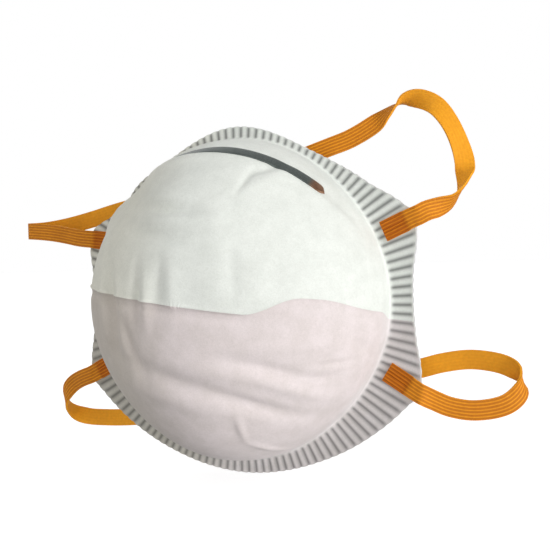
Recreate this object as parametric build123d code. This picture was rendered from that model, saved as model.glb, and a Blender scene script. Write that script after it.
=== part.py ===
"""Disposable cup dust mask: moulded web layers welded at a flat rim, nose clip, nose foam, two head straps.

Frame: millimetres, +Z up towards the nose, -Y the way the wearer looks, +X to the right of someone who
faces the mask. The origin is the centre of the face opening, on the back of the rim, which lies at y = 0.
"""

import math
import os

from build123d import *

os.makedirs("parts", exist_ok=True)

# Cup: a rounded dome whose foot is nearly round and whose walls stand almost square to the rim
CUP_DEPTH = 46.0
CUP_FOOT_RADIUS = 59.1
CUP_FOOT_NOSE_RISE = 1.9
CUP_FOOT_OVAL = -0.4
CUP_FOOT_SQUARE = 0.8
SIDE_FULLNESS = 2.0
NOSE_FULLNESS = 2.4
DOME_LEVELS = 9
TOP_LEVEL = 0.999
CUP_OUTLINE_POINTS = 32
RIM_OUTLINE_POINTS = 72

# Rim outline as polar stations, degrees up from +X and radius, the same on both sides
RIM_STATIONS = [
    (90, 67.3),
    (62, 64.0),
    (40, 67.6),
    (30, 72.8),
    (24.5, 75.2),
    (20, 73.6),
    (10, 68.8),
    (0, 67.5),
    (-10, 69.3),
    (-19, 73.8),
    (-24, 75.6),
    (-30, 73.4),
    (-45, 69.0),
    (-65, 65.3),
    (-90, 64.2),
]

# Web layers from the outside in: name, thickness in the dome, thickness pressed flat in the rim
LAYERS = [
    ("outer_cover", 0.4, 0.3),
    ("support_shell", 1.0, 0.5),
    ("meltblown_filter_front", 0.4, 0.3),
    ("meltblown_filter_back", 0.4, 0.3),
    ("inner_lining", 0.4, 0.3),
]
LAYER_GAP = 0.05
RIM_THICKNESS = sum(layer[2] for layer in LAYERS) + LAYER_GAP * (len(LAYERS) - 1)
WEB_THICKNESS = sum(layer[1] for layer in LAYERS) + LAYER_GAP * (len(LAYERS) - 1)

# Seam between the upper and the lower cover panel: height at x = 0 and the way it falls to the right
SEAM_HEIGHT = 2.2
SEAM_FALL_DEGREES = 6.8
SEAM_GAP = 0.1

# Nose clip outside and nose foam inside, both across the bridge of the nose
CLIP_CENTRE = (0, -24.0, 56.0)
CLIP_TILT_DEGREES = 25.0
CLIP_WIDTH = 5.0
CLIP_THICKNESS = 0.9
CLIP_SPAN = 83.0
FOAM_WIDTH = 10.0
FOAM_THICKNESS = 3.5
FOAM_SPAN = 70.0
FOAM_CENTRE = (0, -16.0, 52.0)
BRIDGE_BLOCK_HEIGHT = 60.0

# Head straps: flat knitted elastic, each welded at both ends to the front of the rim
STRAP_WIDTH = 7.0
STRAP_THICKNESS = 0.9
WELD_GAP = 0.05
STRAP_Y = -RIM_THICKNESS - WELD_GAP - STRAP_THICKNESS / 2
TAB_OUTER_X = 70.1
STRAP_START_X = 70.4
TABS = {
    "upper_strap_end_right": ((57.6, 25.6), (TAB_OUTER_X, 31.0)),
    "upper_strap_end_left": ((-57.6, 25.6), (-TAB_OUTER_X, 27.0)),
    "lower_strap_end_right": ((57.9, -23.4), (TAB_OUTER_X, -31.0)),
    "lower_strap_end_left": ((-57.9, -23.4), (-TAB_OUTER_X, -29.6)),
}

# Each strap's route from the right end to the left end: a point and the way its width points there
UPPER_STRAP = [
    ((STRAP_START_X, STRAP_Y, 31.0), (0, 0, 1)),
    ((73.0, -1.0, 32.4), (-0.35, 0, 0.94)),
    ((76.2, 2.6, 33.6), (-0.2, 0, 0.98)),
    ((79.4, 6.6, 35.2), (-0.1, -0.4, 0.9)),
    ((81.8, 9.6, 38.6), (0.3, -0.9, 0.3)),
    ((83.0, 11.4, 43.2), (0.8, -0.6, 0)),
    ((83.2, 13.0, 49.0), (0.9, 0.3, 0.1)),
    ((81.4, 14.0, 56.0), (0.9, 0.4, 0.25)),
    ((77.8, 15.0, 64.0), (0.8, 0.35, 0.45)),
    ((72.8, 16.0, 70.6), (0.6, 0, 0.7)),
    ((66.6, 17.0, 74.0), (0.4, -0.6, 0.65)),
    ((61.0, 17.5, 74.2), (0.4, -0.85, 0.35)),
    ((57.0, 17.5, 72.4), (0.4, -0.9, 0)),
    ((53.0, 17.0, 69.4), (0.4, -0.6, -0.6)),
    ((48.2, 16.0, 65.6), (0.45, 0, -0.9)),
    ((40.0, 15.0, 61.4), (0.35, 0.1, -0.93)),
    ((32.0, 14.0, 58.8), (0.3, 0, -0.95)),
    ((24.0, 13.5, 56.4), (0.3, 0, -0.95)),
    ((14.0, 14.0, 53.6), (0.2, -0.5, -0.8)),
    ((3.0, 15.0, 50.6), (0, -1, -0.2)),
    ((-9.0, 15.5, 48.0), (0, -0.8, 0.6)),
    ((-22.0, 15.5, 45.8), (0.1, -0.3, 0.95)),
    ((-38.0, 15.5, 43.6), (0.1, 0, 1)),
    ((-53.0, 15.0, 41.2), (0.15, 0, 1)),
    ((-66.0, 14.2, 38.8), (0.2, 0, 1)),
    ((-78.0, 13.4, 36.0), (0.2, 0, 1)),
    ((-90.0, 12.6, 33.6), (0.2, 0, 1)),
    ((-100.5, 11.8, 32.2), (0.1, 0, 1)),
    ((-106.0, 10.4, 31.8), (0.05, 0, 1)),
    ((-108.2, 7.6, 31.6), (0, 0, 1)),
    ((-106.4, 5.0, 31.4), (0, 0, 1)),
    ((-100.5, 3.6, 31.0), (0, 0, 1)),
    ((-92.0, 2.1, 30.2), (-0.1, 0, 1)),
    ((-83.0, 0.4, 28.9), (-0.15, 0, 1)),
    ((-75.5, -1.4, 27.6), (-0.15, 0, 1)),
    ((-STRAP_START_X, STRAP_Y, 27.0), (0, 0, 1)),
]
LOWER_STRAP = [
    ((STRAP_START_X, STRAP_Y, -31.0), (0, 0, 1)),
    ((73.8, 0.4, -33.2), (0.45, 0, 0.9)),
    ((78.6, 3.0, -35.6), (0.3, 0, 0.95)),
    ((85.0, 5.0, -36.8), (0.1, 0, 1)),
    ((91.4, 7.0, -36.4), (-0.1, 0, 1)),
    ((96.8, 9.0, -34.8), (-0.15, 0, 1)),
    ((100.4, 11.0, -31.8), (-0.2, -0.1, 0.95)),
    ((101.6, 13.0, -28.4), (-0.2, -0.2, 0.95)),
    ((100.2, 15.0, -25.2), (-0.2, -0.2, 0.95)),
    ((96.0, 16.4, -22.6), (-0.1, 0, 1)),
    ((90.0, 17.0, -21.2), (0, 0, 1)),
    ((82.0, 17.0, -20.8), (0, 0, 1)),
    ((73.0, 16.2, -22.2), (0.1, 0, 1)),
    ((65.0, 15.4, -24.4), (0.2, 0, 1)),
    ((52.0, 14.8, -27.6), (0.2, 0, 1)),
    ((36.0, 14.5, -31.6), (0.2, 0, 1)),
    ((18.0, 14.5, -35.8), (0.2, 0, 1)),
    ((0.0, 14.5, -39.6), (0.2, 0, 1)),
    ((-18.0, 14.5, -43.0), (0.2, 0, 1)),
    ((-36.0, 14.3, -46.0), (0.15, 0, 1)),
    ((-52.0, 14.0, -48.4), (0.1, 0, 1)),
    ((-64.0, 13.8, -49.8), (0.1, 0, 1)),
    ((-75.0, 13.4, -50.4), (0, 0.1, 1)),
    ((-83.0, 12.4, -50.2), (0, 0.3, 0.95)),
    ((-88.4, 11.0, -48.6), (-0.2, 0.7, 0.7)),
    ((-91.2, 8.8, -45.4), (-0.4, 0.9, 0.2)),
    ((-90.8, 6.6, -41.4), (-0.7, 0.6, 0.2)),
    ((-87.6, 4.6, -37.6), (-0.7, 0.2, 0.5)),
    ((-82.6, 2.4, -34.2), (-0.6, 0, 0.75)),
    ((-76.5, -0.4, -31.6), (-0.45, 0, 0.9)),
    ((-STRAP_START_X, STRAP_Y, -29.6), (0, 0, 1)),
]


def rim_radius(angle):
    """Radius of the rim's edge at an angle in radians, smooth through the stations and the same on both sides."""
    height = math.degrees(math.asin(math.sin(angle)))
    stations = RIM_STATIONS[::-1]
    padded = [(-180 - stations[1][0], stations[1][1])] + stations + [(180 - stations[-2][0], stations[-2][1])]
    for before, low, high, after in zip(padded, padded[1:], padded[2:], padded[3:]):
        if low[0] <= height <= high[0]:
            break
    span = high[0] - low[0]
    share = (height - low[0]) / span
    slope_low = (high[1] - before[1]) / (high[0] - before[0]) * span
    slope_high = (after[1] - low[1]) / (after[0] - low[0]) * span
    return (
        low[1] * (1 + 2 * share) * (1 - share) ** 2
        + slope_low * share * (1 - share) ** 2
        + high[1] * share**2 * (3 - 2 * share)
        + slope_high * share**2 * (share - 1)
    )


def foot_radius(angle):
    """Radius of the cup's outside where it meets the rim."""
    return (
        CUP_FOOT_RADIUS
        + CUP_FOOT_NOSE_RISE * math.sin(angle)
        + CUP_FOOT_OVAL * math.cos(2 * angle)
        + CUP_FOOT_SQUARE * math.cos(4 * angle)
    )


def ring(y, radius_at, count=CUP_OUTLINE_POINTS):
    """Closed smooth outline in a plane of constant y."""
    angles = [2 * math.pi * i / count for i in range(count)]
    points = [(radius_at(a) * math.cos(a), y, radius_at(a) * math.sin(a)) for a in angles]
    return Wire([Edge.make_spline([Vector(*point) for point in points], periodic=True)])


def plate(outline, thickness):
    """Flat plate that goes back from a closed outline."""
    return extrude(Face(outline), amount=thickness, dir=(0, 1, 0))


def cup(inset, back):
    """Solid dome set in from the cup's outside by an inset, with a straight foot that ends at y = back."""

    def foot(angle):
        return foot_radius(angle) - inset

    def level_radius(level):
        def radius(angle):
            fullness = SIDE_FULLNESS + (NOSE_FULLNESS - SIDE_FULLNESS) * math.sin(angle) ** 2
            return foot(angle) * (1 - level**2) ** (1 / fullness)

        return radius

    levels = [TOP_LEVEL * math.sin(math.pi / 2 * i / DOME_LEVELS) for i in range(DOME_LEVELS + 1)]
    sections = [ring(-RIM_THICKNESS - (CUP_DEPTH - inset) * level, level_radius(level)) for level in levels]
    return plate(sections[0], back + RIM_THICKNESS) + Solid.make_loft(sections)


def web_layers():
    """Every web layer as a cup with its own flat rim, nested with a small gap all round."""
    made = {}
    inset, front = 0.0, -RIM_THICKNESS
    for name, thickness, pressed in LAYERS:
        back = front + pressed
        outside = cup(inset, back) + plate(ring(front, rim_radius, RIM_OUTLINE_POINTS), pressed)
        made[name] = outside - cup(inset + thickness, 1.0)
        inset += thickness + LAYER_GAP
        front = back + LAYER_GAP
    return made


def half_space(side):
    """Large block above or below the seam between the two cover panels."""
    size = 4 * CUP_FOOT_RADIUS
    block = Pos(0, 0, side * (size + SEAM_GAP) / 2) * Box(size, size, size)
    return Pos(0, 0, SEAM_HEIGHT) * Rot(0, SEAM_FALL_DEGREES, 0) * block


def bridge_block(centre, length, width):
    """Round-ended block across the nose, used to cut a strip out of a thin shell."""
    block = Box(length, width, BRIDGE_BLOCK_HEIGHT)
    block = fillet(block.edges().filter_by(Axis.Z), width / 2 - 0.1)
    return Pos(*centre) * Rot(CLIP_TILT_DEGREES, 0, 0) * block


def nose_clip():
    """Soft aluminium strip that lies on the outside of the cup."""
    shell = cup(-WELD_GAP - CLIP_THICKNESS, 0.0) - cup(-WELD_GAP, 1.0)
    return shell & bridge_block(CLIP_CENTRE, CLIP_SPAN, CLIP_WIDTH)


def nose_foam():
    """Foam strip stuck to the lining behind the nose clip."""
    outside = WEB_THICKNESS + WELD_GAP
    shell = cup(outside, 0.0) - cup(outside + FOAM_THICKNESS, 1.0)
    return shell & bridge_block(FOAM_CENTRE, FOAM_SPAN, FOAM_WIDTH)


def strap_tab(inner, outer):
    """Welded end of a strap: a flat tab on the front of the rim, cut square to X at its outer end."""
    along = Vector(outer[0] - inner[0], 0, outer[1] - inner[1]).normalized()
    half = STRAP_WIDTH / 2
    across = Vector(-along.Z, 0, along.X) * half
    front = STRAP_Y - STRAP_THICKNESS / 2
    corners = [
        Vector(inner[0], front, inner[1]) + across,
        Vector(inner[0], front, inner[1]) - across,
        Vector(outer[0], front, outer[1] - half * math.copysign(1, along.X)),
        Vector(outer[0], front, outer[1] + half * math.copysign(1, along.X)),
    ]
    return extrude(Face(Wire.make_polygon(corners)), amount=STRAP_THICKNESS, dir=(0, 1, 0))


def band_section(point, along, width_way):
    """Corners of the band's rectangle at a point of its route, in order round the rectangle."""
    flat = along.cross(Vector(*width_way)).normalized()
    width = flat.cross(along).normalized()
    return [
        point + width * (a * STRAP_WIDTH / 2) + flat * (b * STRAP_THICKNESS / 2)
        for a, b in ((1, 1), (1, -1), (-1, -1), (-1, 1))
    ]


def strap(route):
    """Closed flat band: a rectangle at each point of the route, joined to the next one by flat facets."""
    points = [Vector(*point) for point, _ in route]
    sections = []
    for i, (_, width_way) in enumerate(route):
        along = Vector(1, 0, 0)
        if 0 < i < len(route) - 1:
            along = (points[i + 1] - points[i - 1]).normalized()
        sections.append(band_section(points[i], along, width_way))
    facets = [sections[0][::-1], sections[-1]]
    for here, ahead in zip(sections, sections[1:]):
        for i, j in ((0, 1), (1, 2), (2, 3), (3, 0)):
            facets += [[here[i], here[j], ahead[j]], [here[i], ahead[j], ahead[i]]]
    shell = Shell([Face(Wire.make_polygon(facet)) for facet in facets])
    return Solid(shell)


layers = web_layers()
cover = layers.pop("outer_cover")
parts = {
    "outer_cover_upper": cover & half_space(1),
    "outer_cover_lower": cover & half_space(-1),
    **layers,
    "nose_clip": nose_clip(),
    "nose_foam": nose_foam(),
    **{name: strap_tab(*ends) for name, ends in TABS.items()},
    "upper_strap": strap(UPPER_STRAP),
    "lower_strap": strap(LOWER_STRAP),
}
for name, shape in parts.items():
    export_step(shape, f"parts/{name}.step")
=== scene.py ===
"""Looks of a disposable dust mask: moulded web cup, nose clip, nose foam and two elastic straps."""

import math

import bmesh
import bpy
import numpy as np
from mathutils import Matrix, Vector


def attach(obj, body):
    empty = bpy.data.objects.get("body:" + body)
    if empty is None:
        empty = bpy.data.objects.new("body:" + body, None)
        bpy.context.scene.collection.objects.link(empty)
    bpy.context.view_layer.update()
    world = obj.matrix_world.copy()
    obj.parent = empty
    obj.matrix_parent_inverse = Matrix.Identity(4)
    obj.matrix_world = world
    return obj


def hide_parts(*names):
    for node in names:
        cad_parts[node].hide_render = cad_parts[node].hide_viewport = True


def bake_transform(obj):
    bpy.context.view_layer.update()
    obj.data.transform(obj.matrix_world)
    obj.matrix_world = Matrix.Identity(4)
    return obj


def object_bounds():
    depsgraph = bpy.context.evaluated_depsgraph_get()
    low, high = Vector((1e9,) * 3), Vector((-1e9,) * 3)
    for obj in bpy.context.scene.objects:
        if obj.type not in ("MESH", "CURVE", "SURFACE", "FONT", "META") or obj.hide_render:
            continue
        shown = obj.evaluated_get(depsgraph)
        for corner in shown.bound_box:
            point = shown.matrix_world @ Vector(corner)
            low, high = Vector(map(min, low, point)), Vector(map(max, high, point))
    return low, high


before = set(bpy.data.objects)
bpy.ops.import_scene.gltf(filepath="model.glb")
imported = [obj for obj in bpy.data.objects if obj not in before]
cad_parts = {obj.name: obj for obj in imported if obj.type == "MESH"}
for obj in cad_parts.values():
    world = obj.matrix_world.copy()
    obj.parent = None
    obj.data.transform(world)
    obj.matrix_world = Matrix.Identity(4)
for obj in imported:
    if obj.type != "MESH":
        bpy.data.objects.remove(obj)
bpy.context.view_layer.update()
MM = 0.001

# ---- Camera ----------------------------------------------------------------------------------------------
# A level camera a third of a metre away, a little to the right of the mask's front, framed as on a bench.
# It stands a hand's width off the mask's own middle and is held slightly out of level.
VIEW_AZIMUTH = math.radians(25)
VIEW_ELEVATION = math.radians(1.35)
VIEW_ROLL = math.radians(-1.39)
VIEW_DISTANCE = 318.5 * MM
VIEW_SIDE_STEP = 12.8 * MM
VIEW_RISE = 11.1 * MM
LENS_MM = 54.6

back = Vector(
    (
        math.sin(VIEW_AZIMUTH) * math.cos(VIEW_ELEVATION),
        -math.cos(VIEW_AZIMUTH) * math.cos(VIEW_ELEVATION),
        math.sin(VIEW_ELEVATION),
    )
)
level = Vector((math.cos(VIEW_AZIMUTH), math.sin(VIEW_AZIMUTH), 0))
upright = back.cross(level)
camera_right = level * math.cos(VIEW_ROLL) + upright * math.sin(VIEW_ROLL)
camera_up = upright * math.cos(VIEW_ROLL) - level * math.sin(VIEW_ROLL)
camera_data = bpy.data.cameras.new("camera")
camera_data.lens = LENS_MM
camera_data.clip_start = 0.01
camera = bpy.data.objects.new("camera", camera_data)
camera.matrix_world = Matrix((camera_right, camera_up, back)).transposed().to_4x4()
camera.location = back * VIEW_DISTANCE + camera_right * VIEW_SIDE_STEP + camera_up * VIEW_RISE
bpy.context.scene.collection.objects.link(camera)
bpy.context.scene.camera = camera

# ---- Outer cover -----------------------------------------------------------------------------------------
# Two panels of thin white spunbond that overlap in a shallow seam across the cup, hot-moulded over a dome
# and pressed flat at the rim, where a ribbed roller welds every layer into radial grooves.
CUP_DEPTH = 46.0
RIM_THICKNESS = 1.9
WELL_ROUND = 0.8
DOME_ROWS = 60
DOME_CROWDING = 1.35
FILLET_ROWS = 4
RIM_ROWS = 12
RIB_COUNT = 127
STEPS_PER_RIB = 8
RIB_CROWDING = 0.08
GROOVE_DEPTH = 0.55
GROOVE_WIDTH = 0.23
RIB_CROWN = 0.28
GROOVE_START = -0.7
EDGE_PINCH = 0.45
EDGE_SCALLOP = 0.25
LEFT_TUCK = 3.0
SEAM_HEIGHT = 2.2
SEAM_SLOPE = math.tan(math.radians(6.8))
SEAM_GAP = 0.04
SEAM_CLIMB = 6.8
SEAM_CLIMB_START = 23.0
SEAM_CLIMB_REACH = 18.0
SEAM_FALL_START = 45.0
SEAM_FALL_REACH = 20.0
SEAM_FALL_SHARE = 0.75

# Rim outline as polar stations, degrees up from +X and radius in millimetres, the same on both sides
RIM_STATIONS = [
    (90, 67.3),
    (62, 64.0),
    (40, 67.6),
    (30, 72.8),
    (24.5, 75.2),
    (20, 73.6),
    (10, 68.8),
    (0, 67.5),
    (-10, 69.3),
    (-19, 73.8),
    (-24, 75.6),
    (-30, 73.4),
    (-45, 69.0),
    (-65, 65.3),
    (-90, 64.2),
]

# Soft dents and folds of the moulded web: centre (x, z), reach across and along, turn in degrees, height,
# all in millimetres as seen from the front. A negative height is a dent.
FOLDS = [
    (-29.0, 41.0, 15.0, 10.0, -42, -2.8),
    (-30.5, 0.0, 2.3, 15.0, 6, -2.2),
    (-36.5, 4.0, 2.4, 13.0, 5, 0.8),
    (-25.0, -3.0, 2.2, 13.0, 12, 0.9),
    (-21.5, -10.0, 2.2, 12.0, 24, -1.6),
    (-17.2, 5.0, 2.0, 10.0, -3, -1.7),
    (-12.6, 3.0, 2.4, 9.0, 4, 0.8),
    (-7.0, 10.0, 2.2, 7.0, -6, -0.9),
    (-1.5, 7.0, 2.6, 8.0, 3, 0.45),
    (6.0, 9.0, 4.0, 9.0, 0, -0.35),
    (-7.0, 35.6, 13.0, 2.0, -8, -1.9),
    (-9.0, 40.0, 13.0, 2.6, -7, 0.7),
    (-12.0, 26.5, 16.0, 2.4, -2, -1.3),
    (-3.0, 30.8, 17.0, 2.6, -3, 0.6),
    (19.0, 43.5, 1.5, 4.5, -16, -0.65),
    (23.5, 47.6, 4.5, 1.5, 8, -0.8),
    (25.5, 43.5, 5.0, 3.0, 8, 0.8),
    (12.0, 30.0, 6.0, 9.0, 24, 0.5),
    (-4.0, -23.0, 22.0, 3.0, -17, -1.2),
    (22.0, -31.5, 13.0, 2.8, -20, -1.3),
    (-8.0, -29.0, 20.0, 3.4, -12, 0.9),
    (14.0, -20.0, 14.0, 3.0, -10, 0.9),
    (30.0, -19.3, 12.0, 2.4, -16, -1.2),
    (34.0, -11.5, 16.0, 3.2, 2, 0.8),
    (34.0, -26.0, 10.0, 2.6, -24, 0.8),
    (16.2, -40.0, 1.3, 4.5, -10, 0.6),
    (20.0, -49.0, 4.5, 1.3, -32, 0.6),
    (47.0, -18.0, 5.0, 1.1, 8, -0.5),
    (44.0, -22.5, 5.0, 1.3, 12, -0.4),
    (20.0, 12.0, 2.2, 10.0, 6, -0.5),
    (33.0, 12.0, 2.6, 10.0, -4, -0.4),
    (54.0, -13.0, 2.4, 4.0, 10, -0.8),
]
SEAM_RIDGE = 0.6
SEAM_RIDGE_REACH = 0.5
SEAM_DIP = 0.45
CLIP_LIP = 1.6
CLIP_LIP_BELOW = 3.6
CLIP_LIP_REACH = 2.6
CLIP_BED = 1.0
CLIP_BED_ABOVE = 1.5
CLIP_BED_REACH = 2.8
CLIP_CENTRE = (0, -24.0, 56.0)
CLIP_TILT = math.radians(25)


def smooth(value):
    """Eased step from 0 to 1."""
    value = np.clip(value, 0, 1)
    return value * value * (3 - 2 * value)


def rim_radius(angle):
    """Radius of the rim's edge, smooth through the stations."""
    heights, radii = np.array(RIM_STATIONS[::-1]).T
    slopes = np.zeros(len(heights))
    slopes[1:-1] = (radii[2:] - radii[:-2]) / (heights[2:] - heights[:-2])
    height = np.degrees(np.arcsin(np.sin(angle)))
    low = np.clip(np.searchsorted(heights, height) - 1, 0, len(heights) - 2)
    span = heights[low + 1] - heights[low]
    share = (height - heights[low]) / span
    return (
        radii[low] * (1 + 2 * share) * (1 - share) ** 2
        + slopes[low] * span * share * (1 - share) ** 2
        + radii[low + 1] * share**2 * (3 - 2 * share)
        + slopes[low + 1] * span * share**2 * (share - 1)
    )


def foot_radius(angle):
    """Radius of the cup's outside where it meets the rim."""
    return 59.1 + 1.9 * np.sin(angle) - 0.4 * np.cos(2 * angle) + 0.8 * np.cos(4 * angle)


def dome_radius(angle, level, inset):
    """Radius of the dome at a level from 0 at the rim to 1 at the top, set in from its outside."""
    fullness = 2.0 + 0.4 * np.sin(angle) ** 2
    return (foot_radius(angle) - inset) * (1 - level**2) ** (1 / fullness)


def bump(distance):
    """Bell curve of height 1."""
    return np.exp(-distance * distance)


def seam_lift(x, y):
    """Height by which the seam climbs over its straight line on the front's right half, none at the rim."""
    climbed = smooth((x - SEAM_CLIMB_START) / SEAM_CLIMB_REACH)
    fallen = SEAM_FALL_SHARE * smooth((x - SEAM_FALL_START) / SEAM_FALL_REACH)
    return SEAM_CLIMB * climbed * (1 - fallen) * smooth((-y - 2) / 8)


def relief(x, y, z):
    """Height of the web's folds, dents, seam and bed of the nose clip at places on the dome."""
    height = np.zeros_like(x)
    for cx, cz, across, along, turn, rise in FOLDS:
        c, s = math.cos(math.radians(turn)), math.sin(math.radians(turn))
        over, up = (x - cx) * c + (z - cz) * s, (z - cz) * c - (x - cx) * s
        height += rise * bump(over / across) * bump(up / along)
    off = z - SEAM_HEIGHT + SEAM_SLOPE * x - seam_lift(x, y)
    bold = 1 - 0.65 * smooth((x - 20) / 12)
    height += bold * (SEAM_RIDGE * bump(off / SEAM_RIDGE_REACH) - SEAM_DIP * bump((off + 2.4) / 1.6))
    from_clip = (y - CLIP_CENTRE[1]) * math.cos(CLIP_TILT) + (z - CLIP_CENTRE[2]) * math.sin(CLIP_TILT)
    sunk = (1 - 0.7 * smooth((x + 14) / 26)) * smooth((z - 20) / 12)
    lip = CLIP_LIP * bump((from_clip + CLIP_LIP_BELOW) / CLIP_LIP_REACH)
    bed = CLIP_BED * bump((from_clip - CLIP_BED_ABOVE) / CLIP_BED_REACH)
    return height + sunk * (lip - bed)


def outward(x, y, z):
    """Unit directions that point out of the dome."""
    way = np.stack([x, (y + 6) * 1.3, z], -1)
    return way / np.linalg.norm(way, axis=-1, keepdims=True)


def ribbed(angle):
    """Distance from the middle of the nearest groove, in ribs."""
    phase = angle * RIB_COUNT / (2 * math.pi)
    return phase - np.round(phase)


def press(blank, inset, face, thickness, pressed):
    """Places on the moulded web of the flat blank's points: profile row from radius, side from height."""
    row = np.round(np.hypot(blank[:, 0], blank[:, 2]))
    angle = np.arctan2(blank[:, 2], blank[:, 0])
    angle = angle - RIB_CROWDING * np.sin(angle * RIB_COUNT) * 2 * math.pi / RIB_COUNT
    behind = blank[:, 1] > -0.5
    inset = np.where(behind, inset + thickness, inset)
    face = np.where(behind, face + pressed, face)

    start = WELL_ROUND / (CUP_DEPTH - inset)
    level = np.cos(np.arccos(start) * np.minimum(row / DOME_ROWS, 1) ** DOME_CROWDING)
    dome = dome_radius(angle, level, inset)
    dome_y = -RIM_THICKNESS - (CUP_DEPTH - inset) * level
    centre = foot_radius(angle) + WELL_ROUND
    turn = math.pi / 2 * np.clip((row - DOME_ROWS) / FILLET_ROWS, 0, 1)
    fillet = centre - (centre - dome_radius(angle, start, inset)) * np.cos(turn)
    fillet_y = (face + RIM_THICKNESS + WELL_ROUND) * np.sin(turn) - RIM_THICKNESS - WELL_ROUND
    share = np.clip((row - DOME_ROWS - FILLET_ROWS) / RIM_ROWS, 0, 1) ** 1.25
    tuck = bump((angle - math.radians(146)) / math.radians(9))
    edge = rim_radius(angle) - LEFT_TUCK * tuck
    groove = bump(ribbed(angle) / GROOVE_WIDTH)
    rim = centre + (edge - centre - EDGE_SCALLOP * groove) * share
    bite = smooth((rim - centre - GROOVE_START) / 1.1) * (1 - EDGE_PINCH * smooth((rim - edge + 0.9) / 0.9))
    rim_y = face + bite * (GROOVE_DEPTH * groove - RIB_CROWN * np.cos(angle * RIB_COUNT))

    rim_y = rim_y + LEFT_TUCK * tuck * share

    domed, welled = row <= DOME_ROWS, row <= DOME_ROWS + FILLET_ROWS
    radius = np.where(domed, dome, np.where(welled, fillet, rim))
    y = np.where(domed, dome_y, np.where(welled, fillet_y, rim_y))
    x, z = radius * np.cos(angle), radius * np.sin(angle)
    swell = relief(x, y, z) * smooth((DOME_ROWS - row) / 7)
    return (np.stack([x, y, z], -1) + outward(x, y, z) * swell[:, None]) * MM


def web_blank(steps_per_rib):
    """Flat two-sided disc, grown ring by ring over its front and back behind it, one row to a ring."""
    bm = bmesh.new()
    bmesh.ops.create_circle(bm, cap_ends=True, cap_tris=True, segments=RIB_COUNT * steps_per_rib, radius=1)
    bmesh.ops.rotate(bm, verts=bm.verts, cent=(0, 0, 0), matrix=Matrix.Rotation(math.pi / 2, 3, "X"))
    bmesh.ops.translate(bm, verts=bm.verts, vec=(0, -1, 0))
    rows = DOME_ROWS + FILLET_ROWS + RIM_ROWS
    rings = [(radius, -1) for radius in range(2, rows + 1)] + [(radius, 0) for radius in range(rows, -1, -1)]
    open_edges = [edge for edge in bm.edges if edge.is_boundary]
    for radius, side in rings:
        grown = bmesh.ops.extrude_edge_only(bm, edges=open_edges)["geom"]
        open_edges = [item for item in grown if isinstance(item, bmesh.types.BMEdge) and item.is_boundary]
        for vertex in (item for item in grown if isinstance(item, bmesh.types.BMVert)):
            way = Vector((vertex.co.x, 0, vertex.co.z)).normalized()
            vertex.co = way * radius + Vector((0, side, 0))
    bmesh.ops.remove_doubles(bm, verts=bm.verts, dist=0.001)
    return bm


def piece_from(bm, name, material, sharp_degrees=40):
    """Finished object of a bmesh, smooth but for its sharp edges."""
    bmesh.ops.recalc_face_normals(bm, faces=bm.faces)
    mesh = bpy.data.meshes.new(name)
    bm.to_mesh(mesh)
    bm.free()
    mesh.shade_smooth()
    mesh.set_sharp_from_angle(angle=math.radians(sharp_degrees))
    mesh.materials.append(material)
    made = bpy.data.objects.new(name, mesh)
    bpy.context.scene.collection.objects.link(made)
    return made


def node(tree, kind, inputs=None, **settings):
    """Shader node with its settings, and inputs given as values or as another node's output."""
    made = tree.nodes.new(kind)
    for key, value in settings.items():
        setattr(made, key, value)
    for key, value in (inputs or {}).items():
        if isinstance(value, bpy.types.NodeSocket):
            tree.links.new(value, made.inputs[key])
        else:
            made.inputs[key].default_value = value
    return made


def ramp(tree, factor, *stops):
    """Colour ramp output for a factor, with (position, colour) stops."""
    made = node(tree, "ShaderNodeValToRGB", {"Fac": factor})
    elements = made.color_ramp.elements
    while len(elements) < len(stops):
        elements.new(0.5)
    for element, (position, colour) in zip(elements, stops):
        element.position = position
        element.color = (*colour, 1)
    return made.outputs["Color"]


def mixed(tree, kind, factor, one, other):
    """Colour output of two colours mixed."""
    made = node(tree, "ShaderNodeMix", data_type="RGBA", blend_type=kind)
    for socket, value in ((made.inputs[0], factor), (made.inputs[6], one), (made.inputs[7], other)):
        if isinstance(value, bpy.types.NodeSocket):
            tree.links.new(value, socket)
        elif isinstance(value, tuple):
            socket.default_value = (*value, 1)
        else:
            socket.default_value = value
    return made.outputs[2]


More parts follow.
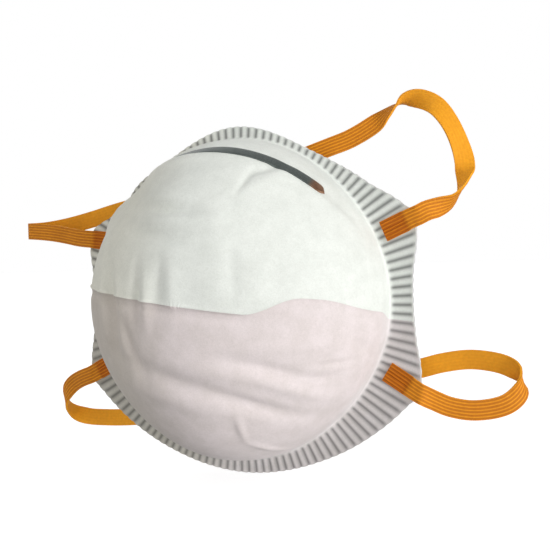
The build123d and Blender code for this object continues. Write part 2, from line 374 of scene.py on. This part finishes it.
def web_material(
    name, light, shade, rim_shade=(0.96, 0.96, 0.97), groove_shade=(0.3, 0.3, 0.305), painted_left_shade=(1.0, 1.0, 1.0)
):
    """Spunbond web: short crossing fibres and cloudy density, with painted shade on the rim and in its
    grooves and painted shade towards the left side.
    """
    material = bpy.data.materials.new(name)
    material.use_nodes = True
    tree = material.node_tree
    shader = tree.nodes["Principled BSDF"]
    place = node(tree, "ShaderNodeTexCoord").outputs["Object"]
    cloud = node(
        tree, "ShaderNodeTexNoise", {"Vector": place, "Scale": 160.0, "Detail": 4.0, "Roughness": 0.6}
    )
    fibre = node(
        tree,
        "ShaderNodeTexNoise",
        {"Vector": place, "Scale": 1500.0, "Detail": 3.0, "Roughness": 0.7, "Distortion": 1.4},
    )
    colour = ramp(tree, cloud.outputs["Fac"], (0.35, shade), (0.65, light))
    speckle = ramp(tree, fibre.outputs["Fac"], (0.3, (0.86, 0.86, 0.85)), (0.62, (1, 1, 1)))
    colour = mixed(tree, "MULTIPLY", 0.75, colour, speckle)
    # Painted shade: the colour is multiplied darker and warmer towards the left side of the cup.
    apart = node(tree, "ShaderNodeSeparateXYZ", {0: place})
    left_shade_share = node(
        tree,
        "ShaderNodeMapRange",
        {"Value": apart.outputs["X"], "From Min": 0.004, "From Max": -0.034},
        interpolation_type="SMOOTHSTEP",
    )
    colour = mixed(tree, "MULTIPLY", left_shade_share.outputs[0], colour, painted_left_shade)
    # Painted shade: the pressed attribute greys the rim and darkens its grooves.
    pressed = node(tree, "ShaderNodeAttribute", attribute_name="pressed").outputs["Fac"]
    painted_groove_shade = ramp(tree, pressed, (0.0, (1, 1, 1)), (0.5, rim_shade), (1.0, groove_shade))
    colour = mixed(tree, "MULTIPLY", 1.0, colour, painted_groove_shade)
    tree.links.new(colour, shader.inputs["Base Color"])
    shader.inputs["Roughness"].default_value = 0.9
    shader.inputs["Specular IOR Level"].default_value = 0.25
    shader.inputs["Sheen Weight"].default_value = 0.15
    low = node(
        tree, "ShaderNodeBump", {"Height": cloud.outputs["Fac"], "Strength": 0.25, "Distance": 0.0004}
    )
    fine = node(
        tree,
        "ShaderNodeBump",
        {"Height": fibre.outputs["Fac"], "Normal": low.outputs[0], "Strength": 0.5, "Distance": 0.00012},
    )
    tree.links.new(fine.outputs[0], shader.inputs["Normal"])
    return material


def mark_groove_shade(made):
    """Writes how hard each point was pressed, which the web's colour turns into painted shade: 0 on the dome,
    0.5 on the rim, 1 in a groove.
    """
    places = np.empty(len(made.data.vertices) * 3)
    made.data.vertices.foreach_get("co", places)
    x, _, z = places.reshape(-1, 3).T / MM
    angle, radius = np.arctan2(z, x), np.hypot(x, z)
    inner = foot_radius(angle) + WELL_ROUND + GROOVE_START
    depth = bump(ribbed(angle) / GROOVE_WIDTH) * smooth((radius - inner) / 1.2)
    depth *= 1 - 0.5 * smooth((radius - rim_radius(angle) + 0.9) / 0.8)
    depth = 0.5 * smooth((radius - inner + 1) / 1.5) + 0.5 * depth
    made.data.attributes.new("pressed", "FLOAT", "POINT").data.foreach_set("value", depth.astype(np.float32))


def web(name, material, inset, front, thickness, pressed, steps_per_rib, side=0):
    """A web layer as one closed thin cup, or the part of it on one side of the seam."""
    bm = web_blank(steps_per_rib)
    blank = np.array([vertex.co[:] for vertex in bm.verts])
    for vertex, place in zip(bm.verts, press(blank, inset, front, thickness, pressed)):
        vertex.co = place
    bmesh.ops.recalc_face_normals(bm, faces=bm.faces)
    if side:
        lifts = [float(seam_lift(vertex.co.x / MM, vertex.co.y / MM)) * MM for vertex in bm.verts]
        for vertex, lift in zip(bm.verts, lifts):
            vertex.co.z -= lift
        cut = bmesh.ops.bisect_plane(
            bm,
            geom=bm.verts[:] + bm.edges[:] + bm.faces[:],
            dist=1e-8,
            plane_co=(0, 0, (SEAM_HEIGHT + side * SEAM_GAP / 2) * MM),
            plane_no=(-side * SEAM_SLOPE, 0, -side),
            clear_outer=True,
        )
        rim_of_cut = [edge for edge in cut["geom_cut"] if isinstance(edge, bmesh.types.BMEdge)]
        filled = bmesh.ops.triangle_fill(bm, edges=rim_of_cut, use_beauty=True)
        assert filled["geom"], "the seam's cut edge stays open"
        for vertex in bm.verts:
            vertex.co.z += float(seam_lift(vertex.co.x / MM, vertex.co.y / MM)) * MM
    made = piece_from(bm, name, material)
    mark_groove_shade(made)
    return made


# The upper panel is painted a little greener as painted sky light. The lower panel is painted pinker and
# darker as painted shade with painted pink light from below, and its rim colour takes some of that pink back
# out. Both panels get painted shade towards the left.
sky_lit_upper_web = web_material(
    "upper_cover_web", (0.85, 0.875, 0.825), (0.79, 0.815, 0.765), painted_left_shade=(0.97, 0.93, 0.87)
)
shaded_lower_web = web_material(
    "lower_cover_web",
    (0.80, 0.72, 0.715),
    (0.73, 0.655, 0.64),
    (0.95, 1.0, 1.0),
    (0.38, 0.40, 0.40),
    painted_left_shade=(0.80, 0.81, 0.73),
)
for side, name, material in ((1, "outer_cover_upper", sky_lit_upper_web), (-1, "outer_cover_lower", shaded_lower_web)):
    panel = web("web_" + name, material, 0.0, -RIM_THICKNESS, 0.4, 0.3, STEPS_PER_RIB, side)
    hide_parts(name)
    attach(panel, "mask")

# ---- Inner webs ------------------------------------------------------------------------------------------
# Under the cover: a stiff needle-felt shell, two melt-blown filter webs and a soft lining against the face.
# They are moulded in the same press, so that their ribs nest, and they show only at the edge and from behind.
FELT_LIGHT, FELT_SHADE = (0.78, 0.775, 0.75), (0.70, 0.69, 0.665)
FILTER_LIGHT, FILTER_SHADE = (0.84, 0.85, 0.86), (0.79, 0.80, 0.81)
LINING_LIGHT, LINING_SHADE = (0.85, 0.85, 0.83), (0.80, 0.80, 0.78)
INNER_WEBS = [
    ("support_shell", "shell_felt", FELT_LIGHT, FELT_SHADE, 0.45, -1.55, 1.0, 0.5, 4),
    ("meltblown_filter_front", "meltblown_web", FILTER_LIGHT, FILTER_SHADE, 1.5, -1.0, 0.4, 0.3, 4),
    ("meltblown_filter_back", "meltblown_web", FILTER_LIGHT, FILTER_SHADE, 1.95, -0.65, 0.4, 0.3, 4),
    ("inner_lining", "lining_web", LINING_LIGHT, LINING_SHADE, 2.4, -0.3, 0.4, 0.3, 5),
]

for name, slot, light, shade, inset, front, thickness, pressed, steps in INNER_WEBS:
    # Their rims and grooves get a lighter painted shade than the cover's.
    material = web_material(name + "_web", light, shade, (0.92, 0.92, 0.92), (0.7, 0.7, 0.7))
    layer = web("web_" + name, material, inset, front, thickness, pressed, steps)
    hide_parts(name)
    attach(layer, "mask")

# ---- Nose clip -------------------------------------------------------------------------------------------
# Soft flat aluminium strip with rounded ends, glued to the outside across the nose and bent by hand.
# The glue has turned the ends brown.
CLIP_SPAN = 83.0
CLIP_WIDTH = 4.2
CLIP_THICKNESS = 0.9
CLIP_SUNK = 0.1


def lay_on_bridge(bm, centre, lift):
    """Lays a flat strip over the nose, along X, at a lift off the cup's outside and inwards when deep."""
    flat = np.array([vertex.co[:] for vertex in bm.verts])
    x, raised = flat[:, 0], lift * np.ones(len(flat)) + flat[:, 2] * (1 if lift > -1 else -1)
    start_y = centre[1] + math.cos(CLIP_TILT) * flat[:, 1]
    start_z = centre[2] + math.sin(CLIP_TILT) * flat[:, 1]
    low, high = np.full(len(flat), -70.0), np.full(len(flat), 60.0)
    for _ in range(40):
        middle = (low + high) / 2
        y, z = start_y - math.sin(CLIP_TILT) * middle, start_z + math.cos(CLIP_TILT) * middle
        level = (-RIM_THICKNESS - y) / (CUP_DEPTH + raised)
        reach = dome_radius(np.arctan2(z, x), np.clip(level, 0, 1), -raised)
        inside = (level < 1) & (np.hypot(x, z) < reach)
        low, high = np.where(inside, middle, low), np.where(inside, high, middle)
    bed_y, bed_z = y - math.cos(CLIP_TILT) * flat[:, 1] * 0.8, z - math.sin(CLIP_TILT) * flat[:, 1] * 0.8
    places = np.stack([x, y, z], -1) + outward(x, y, z) * relief(x, bed_y, bed_z)[:, None]
    for vertex, place in zip(bm.verts, places * MM):
        vertex.co = place


def bridge_strip(length, width, thickness, corner, rows, columns, bevel):
    """Flat strip with round corners, bevelled all round and cut into short steps for bending."""
    bm = bmesh.new()
    bmesh.ops.create_grid(bm, x_segments=rows, y_segments=columns, size=1)
    for vertex in bm.verts:
        x = vertex.co.x * length / 2
        past = max(0.0, abs(x) - (length / 2 - corner))
        half = width / 2 - corner + math.sqrt(max(0.0, corner**2 - past**2))
        vertex.co = Vector((x, vertex.co.y * max(half, 0.05), 0))
    grown = bmesh.ops.extrude_face_region(bm, geom=bm.faces[:])
    top = [item for item in grown["geom"] if isinstance(item, bmesh.types.BMVert)]
    bmesh.ops.translate(bm, verts=top, vec=(0, 0, thickness))
    bmesh.ops.recalc_face_normals(bm, faces=bm.faces)
    rims = [edge for edge in bm.edges if edge.calc_face_angle(0) > math.radians(60)]
    bmesh.ops.bevel(
        bm, geom=rims, offset=bevel, segments=3, profile=0.5, affect="EDGES", material=-1, clamp_overlap=True
    )
    return bm


def clip_material():
    """Brushed soft aluminium, dull grey with fine lines along the strip and brown glue at the ends."""
    material = bpy.data.materials.new("clip_metal")
    material.use_nodes = True
    tree = material.node_tree
    shader = tree.nodes["Principled BSDF"]
    place = node(tree, "ShaderNodeTexCoord").outputs["Object"]
    stretched = node(tree, "ShaderNodeMapping", {"Vector": place, "Scale": (60.0, 1500.0, 1500.0)})
    lines = node(
        tree,
        "ShaderNodeTexNoise",
        {"Vector": stretched.outputs[0], "Scale": 2.0, "Detail": 5.0, "Roughness": 0.7},
    )
    blotch = node(tree, "ShaderNodeTexNoise", {"Vector": place, "Scale": 260.0, "Detail": 3.0})
    grey = ramp(tree, lines.outputs["Fac"], (0.3, (0.06, 0.075, 0.07)), (0.7, (0.17, 0.195, 0.185)))
    brown = ramp(tree, blotch.outputs["Fac"], (0.3, (0.20, 0.10, 0.055)), (0.7, (0.36, 0.22, 0.14)))
    apart = node(tree, "ShaderNodeSeparateXYZ", {0: place})
    off_centre = node(tree, "ShaderNodeMath", {0: apart.outputs["X"]}, operation="ABSOLUTE")
    at_end = node(
        tree,
        "ShaderNodeMapRange",
        {"Value": off_centre.outputs[0], "From Min": 0.0365, "From Max": 0.0385},
        interpolation_type="SMOOTHSTEP",
    )
    tree.links.new(mixed(tree, "MIX", at_end.outputs[0], grey, brown), shader.inputs["Base Color"])
    shader.inputs["Metallic"].default_value = 0.55
    rough = node(tree, "ShaderNodeMapRange", {"Value": lines.outputs["Fac"], "To Min": 0.36, "To Max": 0.6})
    tree.links.new(rough.outputs[0], shader.inputs["Roughness"])
    bump = node(
        tree, "ShaderNodeBump", {"Height": lines.outputs["Fac"], "Strength": 0.3, "Distance": 0.00008}
    )
    tree.links.new(bump.outputs[0], shader.inputs["Normal"])
    return material


bm = bridge_strip(CLIP_SPAN, CLIP_WIDTH, CLIP_THICKNESS, CLIP_WIDTH / 2, 140, 6, 0.22)
lay_on_bridge(bm, CLIP_CENTRE, -CLIP_SUNK)
clip = piece_from(bm, "bent_nose_clip", clip_material())
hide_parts("nose_clip")
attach(clip, "mask")

# ---- Nose foam -------------------------------------------------------------------------------------------
# Strip of soft open-cell foam glued to the lining behind the nose clip, so that the mask seals on the nose.
FOAM_CENTRE = (0, -16.0, 52.0)
FOAM_SPAN = 70.0
FOAM_WIDTH = 10.0
FOAM_THICKNESS = 3.5
FOAM_CROWN = 0.1
FOAM_INSET = 2.87


def foam_material():
    """Open-cell polyurethane foam: off-white, matt, with small round pores."""
    material = bpy.data.materials.new("foam")
    material.use_nodes = True
    tree = material.node_tree
    shader = tree.nodes["Principled BSDF"]
    place = node(tree, "ShaderNodeTexCoord").outputs["Object"]
    cells = node(tree, "ShaderNodeTexVoronoi", {"Vector": place, "Scale": 1500.0})
    large = node(tree, "ShaderNodeTexVoronoi", {"Vector": place, "Scale": 620.0})
    colour = ramp(tree, cells.outputs["Distance"], (0.1, (0.42, 0.42, 0.41)), (0.55, (0.74, 0.74, 0.72)))
    pores = ramp(tree, large.outputs["Distance"], (0.12, (0.6, 0.6, 0.6)), (0.3, (1, 1, 1)))
    tree.links.new(mixed(tree, "MULTIPLY", 0.7, colour, pores), shader.inputs["Base Color"])
    shader.inputs["Roughness"].default_value = 0.95
    bump = node(
        tree, "ShaderNodeBump", {"Height": cells.outputs["Distance"], "Strength": 0.8, "Distance": 0.0003}
    )
    tree.links.new(bump.outputs[0], shader.inputs["Normal"])
    return material


bm = bridge_strip(FOAM_SPAN, FOAM_WIDTH, FOAM_THICKNESS, 1.6, 90, 12, 0.9)
for vertex in bm.verts:
    vertex.co.z *= 1 + FOAM_CROWN * (1 - (2 * vertex.co.y / FOAM_WIDTH) ** 2)
lay_on_bridge(bm, FOAM_CENTRE, -FOAM_INSET)
foam = piece_from(bm, "soft_nose_foam", foam_material())
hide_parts("nose_foam")
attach(foam, "mask")

# ---- Head straps -----------------------------------------------------------------------------------------
# Flat orange elastic, knitted round rubber threads so that fine ribs run along its outer face. Each strap is
# one length, welded at both ends to the front of the rim, where the press leaves it thin, lined and darker.
STRAP_WIDTH = 7.0
STRAP_THICKNESS = 0.9
STRAP_Y = -2.4
TAB_OUTER_X = 70.1
STRAP_START_X = 70.4
STRAP_RIBS = 6
RIB_HEIGHT = 0.07
INNER_RIB_SHARE = 0.12
SECTION_STEPS = 48
ROUTE_STEPS = 9
STRAP_CUTS = 420

# Each strap's route from the right end to the left end: a point and the way its width points there
UPPER_STRAP = [
    ((STRAP_START_X, STRAP_Y, 31.0), (0, 0, 1)),
    ((73.0, -1.0, 32.4), (-0.35, 0, 0.94)),
    ((76.2, 2.6, 33.6), (-0.15, -0.5, 0.85)),
    ((79.4, 6.6, 35.2), (0.1, -0.85, 0.5)),
    ((81.8, 9.6, 38.6), (0.35, -0.9, 0.2)),
    ((83.0, 11.4, 43.2), (0.72, -0.65, 0.05)),
    ((83.2, 13.0, 49.0), (0.9, 0.25, 0.1)),
    ((81.4, 14.0, 56.0), (0.8, 0.62, 0.2)),
    ((77.8, 15.0, 64.0), (0.7, 0.62, 0.4)),
    ((72.8, 16.0, 70.6), (0.55, 0.3, 0.7)),
    ((66.6, 17.0, 74.0), (0.4, -0.3, 0.8)),
    ((61.0, 17.5, 74.2), (0.4, -0.78, 0.48)),
    ((57.0, 17.5, 72.4), (0.4, -0.88, -0.18)),
    ((53.0, 17.0, 69.4), (0.4, -0.6, -0.6)),
    ((48.2, 16.0, 65.6), (0.45, 0, -0.9)),
    ((40.0, 15.0, 61.4), (0.35, 0.1, -0.93)),
    ((32.0, 14.0, 58.8), (0.3, 0, -0.95)),
    ((24.0, 13.5, 56.4), (0.3, 0, -0.95)),
    ((14.0, 14.0, 53.6), (0.2, -0.5, -0.8)),
    ((3.0, 15.0, 50.6), (0, -1, -0.2)),
    ((-9.0, 15.5, 48.0), (0, -0.8, 0.6)),
    ((-22.0, 15.5, 45.8), (0.1, -0.3, 0.95)),
    ((-38.0, 15.5, 43.6), (0.1, 0, 1)),
    ((-53.0, 15.0, 41.2), (0.15, 0, 1)),
    ((-66.0, 14.2, 38.8), (0.2, 0, 1)),
    ((-78.0, 13.4, 36.0), (0.2, 0, 1)),
    ((-90.0, 12.6, 33.6), (0.2, 0, 1)),
    ((-100.5, 11.8, 32.2), (0.1, 0, 1)),
    ((-106.0, 10.4, 31.8), (0.05, 0, 1)),
    ((-108.2, 7.6, 31.6), (0, 0, 1)),
    ((-106.4, 5.0, 31.4), (0, 0, 1)),
    ((-100.5, 3.6, 31.0), (0, 0, 1)),
    ((-92.0, 2.1, 30.2), (-0.1, 0, 1)),
    ((-83.0, 0.4, 28.9), (-0.15, 0, 1)),
    ((-75.5, -1.4, 27.6), (-0.15, 0, 1)),
    ((-STRAP_START_X, STRAP_Y, 27.0), (0, 0, 1)),
]
LOWER_STRAP = [
    ((STRAP_START_X, STRAP_Y, -31.0), (0, 0, 1)),
    ((73.8, 0.4, -33.2), (0.45, 0, 0.9)),
    ((78.6, 3.0, -35.6), (0.3, 0, 0.95)),
    ((85.0, 5.0, -36.8), (0.1, 0, 1)),
    ((91.4, 7.0, -36.4), (-0.1, 0, 1)),
    ((96.8, 9.0, -34.8), (-0.15, 0, 1)),
    ((100.4, 11.0, -31.8), (-0.2, -0.1, 0.95)),
    ((101.6, 13.0, -28.4), (-0.2, -0.2, 0.95)),
    ((100.2, 15.0, -25.2), (-0.2, -0.2, 0.95)),
    ((96.0, 16.4, -22.6), (-0.1, 0, 1)),
    ((90.0, 17.0, -21.2), (0, 0, 1)),
    ((82.0, 17.0, -20.8), (0, 0, 1)),
    ((73.0, 16.2, -22.2), (0.1, 0, 1)),
    ((65.0, 15.4, -24.4), (0.2, 0, 1)),
    ((52.0, 14.8, -27.6), (0.2, 0, 1)),
    ((36.0, 14.5, -31.6), (0.2, 0, 1)),
    ((18.0, 14.5, -35.8), (0.2, 0, 1)),
    ((0.0, 14.5, -39.6), (0.2, 0, 1)),
    ((-18.0, 14.5, -43.0), (0.2, 0, 1)),
    ((-36.0, 14.3, -46.0), (0.15, 0, 1)),
    ((-52.0, 14.0, -48.4), (0.1, 0, 1)),
    ((-64.0, 13.8, -49.8), (0.1, 0, 1)),
    ((-75.0, 13.4, -50.4), (0, 0.1, 1)),
    ((-83.0, 12.4, -50.2), (0, 0.3, 0.95)),
    ((-88.4, 11.0, -48.6), (-0.2, 0.7, 0.7)),
    ((-91.2, 8.8, -45.4), (-0.4, 0.9, 0.2)),
    ((-90.8, 6.6, -41.4), (-0.7, 0.6, 0.2)),
    ((-87.6, 4.6, -37.6), (-0.7, 0.2, 0.5)),
    ((-82.6, 2.4, -34.2), (-0.6, 0, 0.75)),
    ((-76.5, -0.4, -31.6), (-0.45, 0, 0.9)),
    ((-STRAP_START_X, STRAP_Y, -29.6), (0, 0, 1)),
]


def tab_route(inner, outer):
    """Route rows of a welded end, from the strap's cut end to the outer end of the weld."""
    start, end = Vector((inner[0], STRAP_Y, inner[1])), Vector((outer[0], STRAP_Y, outer[1]))
    way = (end - start).normalized()
    across = Vector((-way.z, 0, way.x))
    if across.z < 0:
        across = -across
    return [(start.lerp(end, share), across) for share in (0.0, 0.3, 0.6, 0.85)]


def eased(before, low, high, after, share):
    """Smooth curve between low and high that keeps its direction at both."""
    return (
        low * (2 - 5 * share**2 + 3 * share**3)
        + before * (2 * share**2 - share - share**3)
        + high * (share + 4 * share**2 - 3 * share**3)
        + after * (share**3 - share**2)
    ) / 2


def strap_rows(route):
    """Evenly spaced rows of a strap: centre, direction along, direction across, distance run."""
    points = [Vector(point) for point, _ in route]
    ways = [Vector(way).normalized() for _, way in route]
    path = []
    for i in range(len(route) - 1):
        a, d = max(0, i - 1), min(len(route) - 1, i + 2)
        for step in range(ROUTE_STEPS):
            share = step / ROUTE_STEPS
            path.append(
                (
                    eased(points[a], points[i], points[i + 1], points[d], share),
                    eased(ways[a], ways[i], ways[i + 1], ways[d], share),
                )
            )
    path.append((points[-1], ways[-1]))
    runs = [0.0]
    for (here, _), (ahead, _) in zip(path, path[1:]):
        runs.append(runs[-1] + (ahead - here).length)
    rows, k = [], 0
    for i in range(STRAP_CUTS + 2):
        run = runs[-1] * i / (STRAP_CUTS + 1)
        while k < len(runs) - 2 and runs[k + 1] < run:
            k += 1
        share = (run - runs[k]) / (runs[k + 1] - runs[k])
        along = (path[min(k + 2, len(path) - 1)][0] - path[max(k - 1, 0)][0]).normalized()
        way = path[k][1].lerp(path[k + 1][1], share)
        across = (way - along * way.dot(along)).normalized()
        rows.append((path[k][0].lerp(path[k + 1][0], share), along, across, run))
    return rows


def strap_piece(name, route, weld_lengths, material):
    """Knitted band swept along its route from one weld to the other, with its ribs and pressed ends."""
    rows = strap_rows(route)
    bm = bmesh.new()
    bmesh.ops.create_cone(
        bm, cap_ends=True, segments=SECTION_STEPS, radius1=1, radius2=1, depth=2, matrix=Matrix.Identity(4)
    )
    lengthways = [edge for edge in bm.edges if abs(edge.verts[0].co.z - edge.verts[1].co.z) > 1]
    bmesh.ops.subdivide_edges(bm, edges=lengthways, cuts=STRAP_CUTS, use_grid_fill=True)
    coordinates = bm.verts.layers.float_vector.new("band")
    faced = bm.verts.layers.float.new("outer_face")
    total = rows[-1][3]
    for vertex in bm.verts:
        index = round((vertex.co.z + 1) / 2 * (STRAP_CUTS + 1))
        centre, along, across, run = rows[index]
        normal = across.cross(along)
        turn = math.atan2(vertex.co.y, vertex.co.x)
        flat = max(-1.0, min(1.0, 1.12 * math.cos(turn)))
        lift = math.copysign(min(1.0, abs(math.sin(turn)) * 2.2), math.sin(turn))
        weld = max(smooth((weld_lengths[0] - run) / 1.2), smooth((weld_lengths[1] - total + run) / 1.2))
        boldness = (1 if lift < 0 else INNER_RIB_SHARE) * smooth((1 - abs(flat)) * 6)
        rib = RIB_HEIGHT * math.cos(flat * math.pi * STRAP_RIBS) * boldness * (1 + 1.6 * weld)
        half = STRAP_THICKNESS / 2 * (1 - 0.35 * weld) + rib
        width = STRAP_WIDTH / 2 * (1 + 0.05 * weld)
        sink = normal * 0.32 * weld
        vertex[coordinates] = (flat, run / 100, weld)
        vertex[faced] = 1.0 if lift < 0 else 0.0
        vertex.co = (centre + across * flat * width + normal * lift * half + sink) * MM
    return piece_from(bm, name, material, 50)


def strap_material():
    """Orange knit: rounded ribs along the outer face with painted shade in their valleys, small stitches
    across both, darker in the welds.
    """
    material = bpy.data.materials.new("strap_elastic")
    material.use_nodes = True
    tree = material.node_tree
    shader = tree.nodes["Principled BSDF"]
    band = node(tree, "ShaderNodeAttribute", attribute_name="band").outputs["Vector"]
    apart = node(tree, "ShaderNodeSeparateXYZ", {0: band})
    place = node(tree, "ShaderNodeTexCoord").outputs["Object"]
    phase = {0: apart.outputs["X"], 1: math.pi * STRAP_RIBS}
    ribs = node(tree, "ShaderNodeMath", phase, operation="MULTIPLY")
    ribs = node(tree, "ShaderNodeMath", {0: ribs.outputs[0]}, operation="COSINE")
    stitch = node(tree, "ShaderNodeMath", {0: apart.outputs["Y"], 1: 2 * math.pi * 140}, operation="MULTIPLY")
    stitch = node(tree, "ShaderNodeMath", {0: stitch.outputs[0]}, operation="SINE")
    fuzz = node(tree, "ShaderNodeTexNoise", {"Vector": place, "Scale": 900.0, "Detail": 3.0})
    blotch = node(tree, "ShaderNodeTexNoise", {"Vector": place, "Scale": 90.0, "Detail": 2.0})
    # Painted shade: the valleys between the ribs are darker than their crowns, strongly on the ribbed outer
    # face and faintly on the smooth inner face.
    ribbed_face_valley_shade = ramp(tree, ribs.outputs[0], (0.0, (0.62, 0.20, 0.009)), (0.7, (0.88, 0.34, 0.015)))
    smooth_face = ramp(tree, ribs.outputs[0], (0.0, (0.95, 0.39, 0.018)), (0.7, (0.97, 0.42, 0.02)))
    outer = node(tree, "ShaderNodeAttribute", attribute_name="outer_face").outputs["Fac"]
    colour = mixed(tree, "MIX", outer, smooth_face, ribbed_face_valley_shade)
    cloudy = ramp(tree, blotch.outputs["Fac"], (0.3, (0.86, 0.82, 0.8)), (0.7, (1, 1, 1)))
    colour = mixed(tree, "MULTIPLY", 0.6, colour, cloudy)
    fine = ramp(tree, fuzz.outputs["Fac"], (0.3, (0.84, 0.8, 0.75)), (0.65, (1, 1, 1)))
    colour = mixed(tree, "MULTIPLY", 0.6, colour, fine)
    colour = mixed(tree, "MULTIPLY", apart.outputs["Z"], colour, (0.78, 0.62, 0.45))
    tree.links.new(colour, shader.inputs["Base Color"])
    shader.inputs["Roughness"].default_value = 0.7
    shader.inputs["Specular IOR Level"].default_value = 0.2
    knit = node(
        tree, "ShaderNodeMath", {0: stitch.outputs[0], 1: 0.35, 2: ribs.outputs[0]}, operation="MULTIPLY_ADD"
    )
    strength = node(tree, "ShaderNodeMapRange", {"Value": outer, "To Min": 0.06, "To Max": 0.3})
    bump = node(
        tree,
        "ShaderNodeBump",
        {"Height": knit.outputs[0], "Strength": strength.outputs[0], "Distance": 0.0001},
    )
    tree.links.new(bump.outputs[0], shader.inputs["Normal"])
    return material


elastic = strap_material()
STRAPS = [
    ("upper_strap", UPPER_STRAP, (57.6, 25.6, 31.0), (57.6, 25.6, 27.0)),
    ("lower_strap", LOWER_STRAP, (57.9, -23.4, -31.0), (57.9, -23.4, -29.6)),
]
for name, route, right, left in STRAPS:
    first = tab_route((right[0], right[1]), (TAB_OUTER_X, right[2]))
    last = tab_route((-left[0], left[1]), (-TAB_OUTER_X, left[2]))[::-1]
    strap = strap_piece("knitted_" + name, first + route + last, (9.6, 9.6), elastic)
    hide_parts(name, name + "_end_right", name + "_end_left")
    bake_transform(strap)

# ---- Floor and light -------------------------------------------------------------------------------------
# A plain white bench top under the mask in a plain white room, with wide soft lights: a low one in front, a
# strong one on the right and weaker ones on the left and behind.
floor_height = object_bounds()[0].z
plain_white = bpy.data.materials.new("plain_white")
plain_white.use_nodes = True
white_shader = plain_white.node_tree.nodes["Principled BSDF"]
white_shader.inputs["Base Color"].default_value = (0.3, 0.3, 0.3, 1)
white_shader.inputs["Roughness"].default_value = 0.9
white_shader.inputs["Emission Color"].default_value = (1, 1, 1, 1)
white_shader.inputs["Emission Strength"].default_value = 0.85
room_white = bpy.data.materials.new("room_white")
room_white.use_nodes = True
room_shader = room_white.node_tree.nodes["Principled BSDF"]
room_shader.inputs["Base Color"].default_value = (0, 0, 0, 1)
room_shader.inputs["Specular IOR Level"].default_value = 0
room_shader.inputs["Emission Color"].default_value = (1, 1, 1, 1)
room_shader.inputs["Emission Strength"].default_value = 1.0
bm = bmesh.new()
bmesh.ops.create_circle(bm, cap_ends=True, segments=96, radius=5.6)
bmesh.ops.translate(bm, verts=bm.verts, vec=(0, 0, floor_height))
floor = piece_from(bm, "floor", plain_white)
floor.visible_diffuse = False
bm = bmesh.new()
bmesh.ops.create_uvsphere(bm, u_segments=48, v_segments=24, radius=6)
room = piece_from(bm, "room", room_white)
floor.visible_shadow = False
room.visible_diffuse = room.visible_glossy = room.visible_shadow = room.visible_transmission = False


def soft_light(name, source, strength, spread_degrees):
    """Wide soft light that comes evenly from one direction."""
    data = bpy.data.lights.new(name, "SUN")
    data.energy = strength
    data.angle = math.radians(spread_degrees)
    lamp = bpy.data.objects.new(name, data)
    lamp.rotation_mode = "QUATERNION"
    lamp.rotation_quaternion = (-Vector(source)).to_track_quat("-Z", "Y")
    bpy.context.scene.collection.objects.link(lamp)


soft_light("front", (0.3, -0.9, -0.1), 0.85, 50)
soft_light("right", (0.92, -0.28, 0.05), 2.6, 28)
soft_light("left", (-0.75, -0.35, 0.65), 0.95, 60)
soft_light("rear", (-0.3, 0.85, 0.4), 1.3, 60)
world = bpy.data.worlds.new("surround")
world.use_nodes = True
world.node_tree.nodes["Background"].inputs["Color"].default_value = (1, 1, 1, 1)
world.node_tree.nodes["Background"].inputs["Strength"].default_value = 0.22
bpy.context.scene.world = world
bpy.context.scene.view_settings.view_transform = "Standard"
